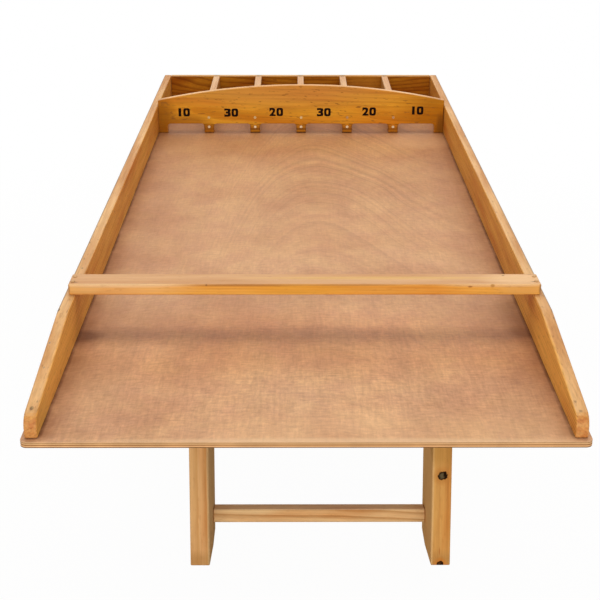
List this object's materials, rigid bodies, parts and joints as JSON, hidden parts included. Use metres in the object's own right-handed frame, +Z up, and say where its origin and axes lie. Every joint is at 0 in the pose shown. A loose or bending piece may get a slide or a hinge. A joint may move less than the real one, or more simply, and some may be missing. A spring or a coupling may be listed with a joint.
{
  "type": "dutch shuffleboard",
  "caption": "Long plywood shuffleboard with tapered pine side rails, a crossbar, an arched gate board, open scoring compartments and folding plank leg frames.",
  "frame": {"origin": "on the floor, under the middle of the playing board", "axes": "+Y from the player's end to the gates, +Z up, +X to the player's right"},
  "size_m": [0.805, 2, 0.6523],
  "materials": {
    "plywood": "rotary-cut veneer, worn clear varnish",
    "rail_pine": "aged pine, satin varnish",
    "gate_pine": "aged golden pine, satin varnish",
    "leg_pine": "sawn and planed pine, thin varnish",
    "bearer_pine": "bare planed pine",
    "score_paint": "matt black paint of the score numbers",
    "steel": "bright wire steel, slightly dulled"
  },
  "bodies": {
    "board": {"back_board": "rail_pine", "crossbar": "rail_pine", "crossbar_left_front_nail": "steel", "crossbar_left_rear_nail": "steel", "crossbar_right_front_nail": "steel", "crossbar_right_rear_nail": "steel", "divider_1": "rail_pine", "divider_2": "rail_pine", "divider_3": "rail_pine", "divider_4": "rail_pine", "divider_5": "rail_pine", "front_bearer": "bearer_pine", "front_left_pivot_block": "bearer_pine", "front_left_pivot_bolt": "steel", "front_left_pivot_nut": "steel", "front_left_pivot_washer": "steel", "front_right_pivot_block": "bearer_pine", "front_right_pivot_bolt": "steel", "front_right_pivot_nut": "steel", "front_right_pivot_washer": "steel", "gate_board": "gate_pine", "gate_nail_1_high": "steel", "gate_nail_1_low": "steel", "gate_nail_2_high": "steel", "gate_nail_2_low": "steel", "gate_nail_3_high": "steel", "gate_nail_3_low": "steel", "gate_nail_4_high": "steel", "gate_nail_4_low": "steel", "gate_nail_5_high": "steel", "gate_nail_5_low": "steel", "left_rail": "rail_pine", "playing_board": "plywood", "rear_bearer": "bearer_pine", "rear_left_pivot_block": "bearer_pine", "rear_left_pivot_bolt": "steel", "rear_left_pivot_nut": "steel", "rear_left_pivot_washer": "steel", "rear_right_pivot_block": "bearer_pine", "rear_right_pivot_bolt": "steel", "rear_right_pivot_nut": "steel", "rear_right_pivot_washer": "steel", "right_rail": "rail_pine"},
    "front_leg_frame": {"front_left_leg": "leg_pine", "front_left_stretcher_screw": "steel", "front_right_leg": "leg_pine", "front_right_stretcher_screw": "steel", "front_stretcher": "leg_pine"},
    "rear_leg_frame": {"rear_left_leg": "leg_pine", "rear_left_stretcher_screw": "steel", "rear_right_leg": "leg_pine", "rear_right_stretcher_screw": "steel", "rear_stretcher": "leg_pine"}
  },
  "joints": [
    {"name": "front_leg_fold", "type": "hinge", "parent": "board", "child": "front_leg_frame", "pos_m": [0.031, -0.42, 0.4107], "axis": [1, 0, 0], "range_deg": [0, 104]},
    {"name": "rear_leg_fold", "type": "hinge", "parent": "board", "child": "rear_leg_frame", "pos_m": [0.031, 0.7, 0.4107], "axis": [-1, 0, 0], "range_deg": [0, 104]}
  ]
}
